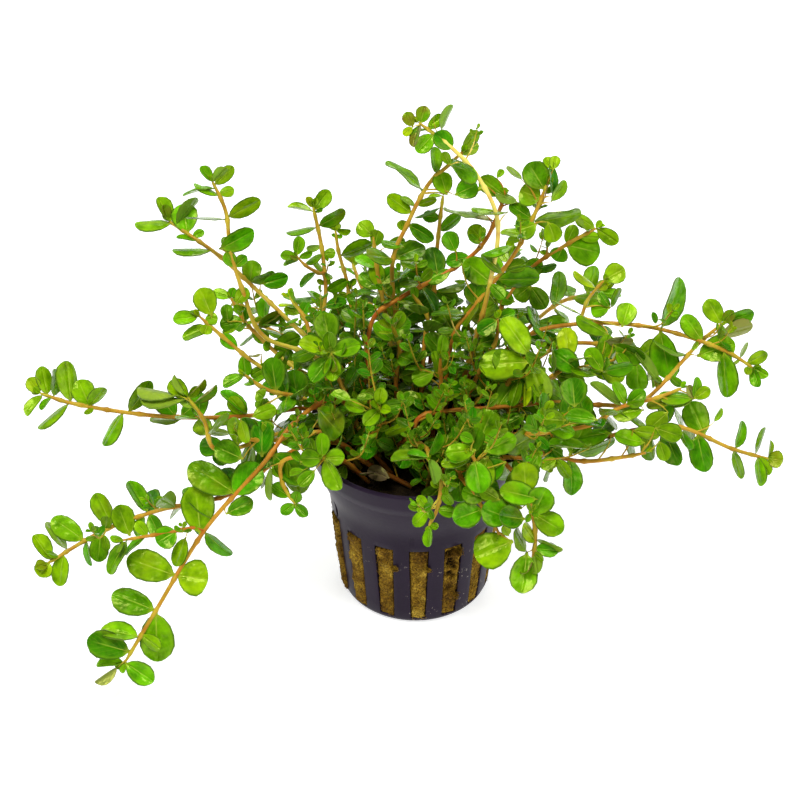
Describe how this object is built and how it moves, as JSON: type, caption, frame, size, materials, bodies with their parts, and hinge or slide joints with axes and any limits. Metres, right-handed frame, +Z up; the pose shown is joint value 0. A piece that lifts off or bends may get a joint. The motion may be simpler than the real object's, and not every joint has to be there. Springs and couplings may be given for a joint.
{
  "type": "aquarium plant",
  "caption": "Indian toothcup grown above water: thin jointed stems with opposite rounded leaves, rooted in mineral wool in a tapered net pot.",
  "frame": {"origin": "centre of the pot's underside, at the height of the surface it stands on", "axes": "+Z up, -Y the side of the pot that faces the viewer in the picture, +X to the right"},
  "size_m": [0.1885, 0.1137, 0.1267],
  "materials": {
    "pot": "satin moulded plastic",
    "wool": "matt felted mineral fibre, stained",
    "plant": "satin living leaf"
  },
  "bodies": {
    "root": {"net_pot": "pot", "mineral_wool_plug": "wool", "stem_left_1": "plant", "stem_left_2": "plant", "stem_left_3": "plant", "stem_left_4": "plant", "side_shoot_left_5": "plant", "stem_left_6": "plant", "stem_left_7": "plant", "stem_left_8": "plant", "stem_left_9": "plant", "stem_front_1": "plant", "stem_front_2": "plant", "stem_front_3": "plant", "stem_front_4": "plant", "stem_front_5": "plant", "stem_front_6": "plant", "stem_front_7": "plant", "stem_front_8": "plant", "stem_front_9": "plant", "stem_right_1": "plant", "stem_right_2": "plant", "stem_right_3": "plant", "stem_right_4": "plant", "stem_right_5": "plant", "stem_right_6": "plant", "stem_right_7": "plant", "stem_right_8": "plant", "stem_right_9": "plant", "stem_right_10": "plant", "stem_right_11": "plant", "side_shoot_right_12": "plant", "stem_crown_1": "plant", "stem_crown_2": "plant", "stem_crown_3": "plant", "stem_crown_4": "plant", "stem_crown_5": "plant", "side_shoot_crown_6": "plant", "stem_crown_7": "plant", "stem_crown_8": "plant", "stem_crown_9": "plant", "stem_crown_10": "plant", "stem_crown_11": "plant", "stem_crown_12": "plant", "stem_crown_13": "plant", "stem_crown_14": "plant", "stem_crown_15": "plant", "stem_crown_16": "plant", "stem_crown_17": "plant", "stem_crown_18": "plant", "stem_crown_19": "plant", "stem_back_1": "plant", "stem_back_2": "plant", "stem_back_3": "plant", "stem_back_4": "plant"}
  },
  "joints": []
}
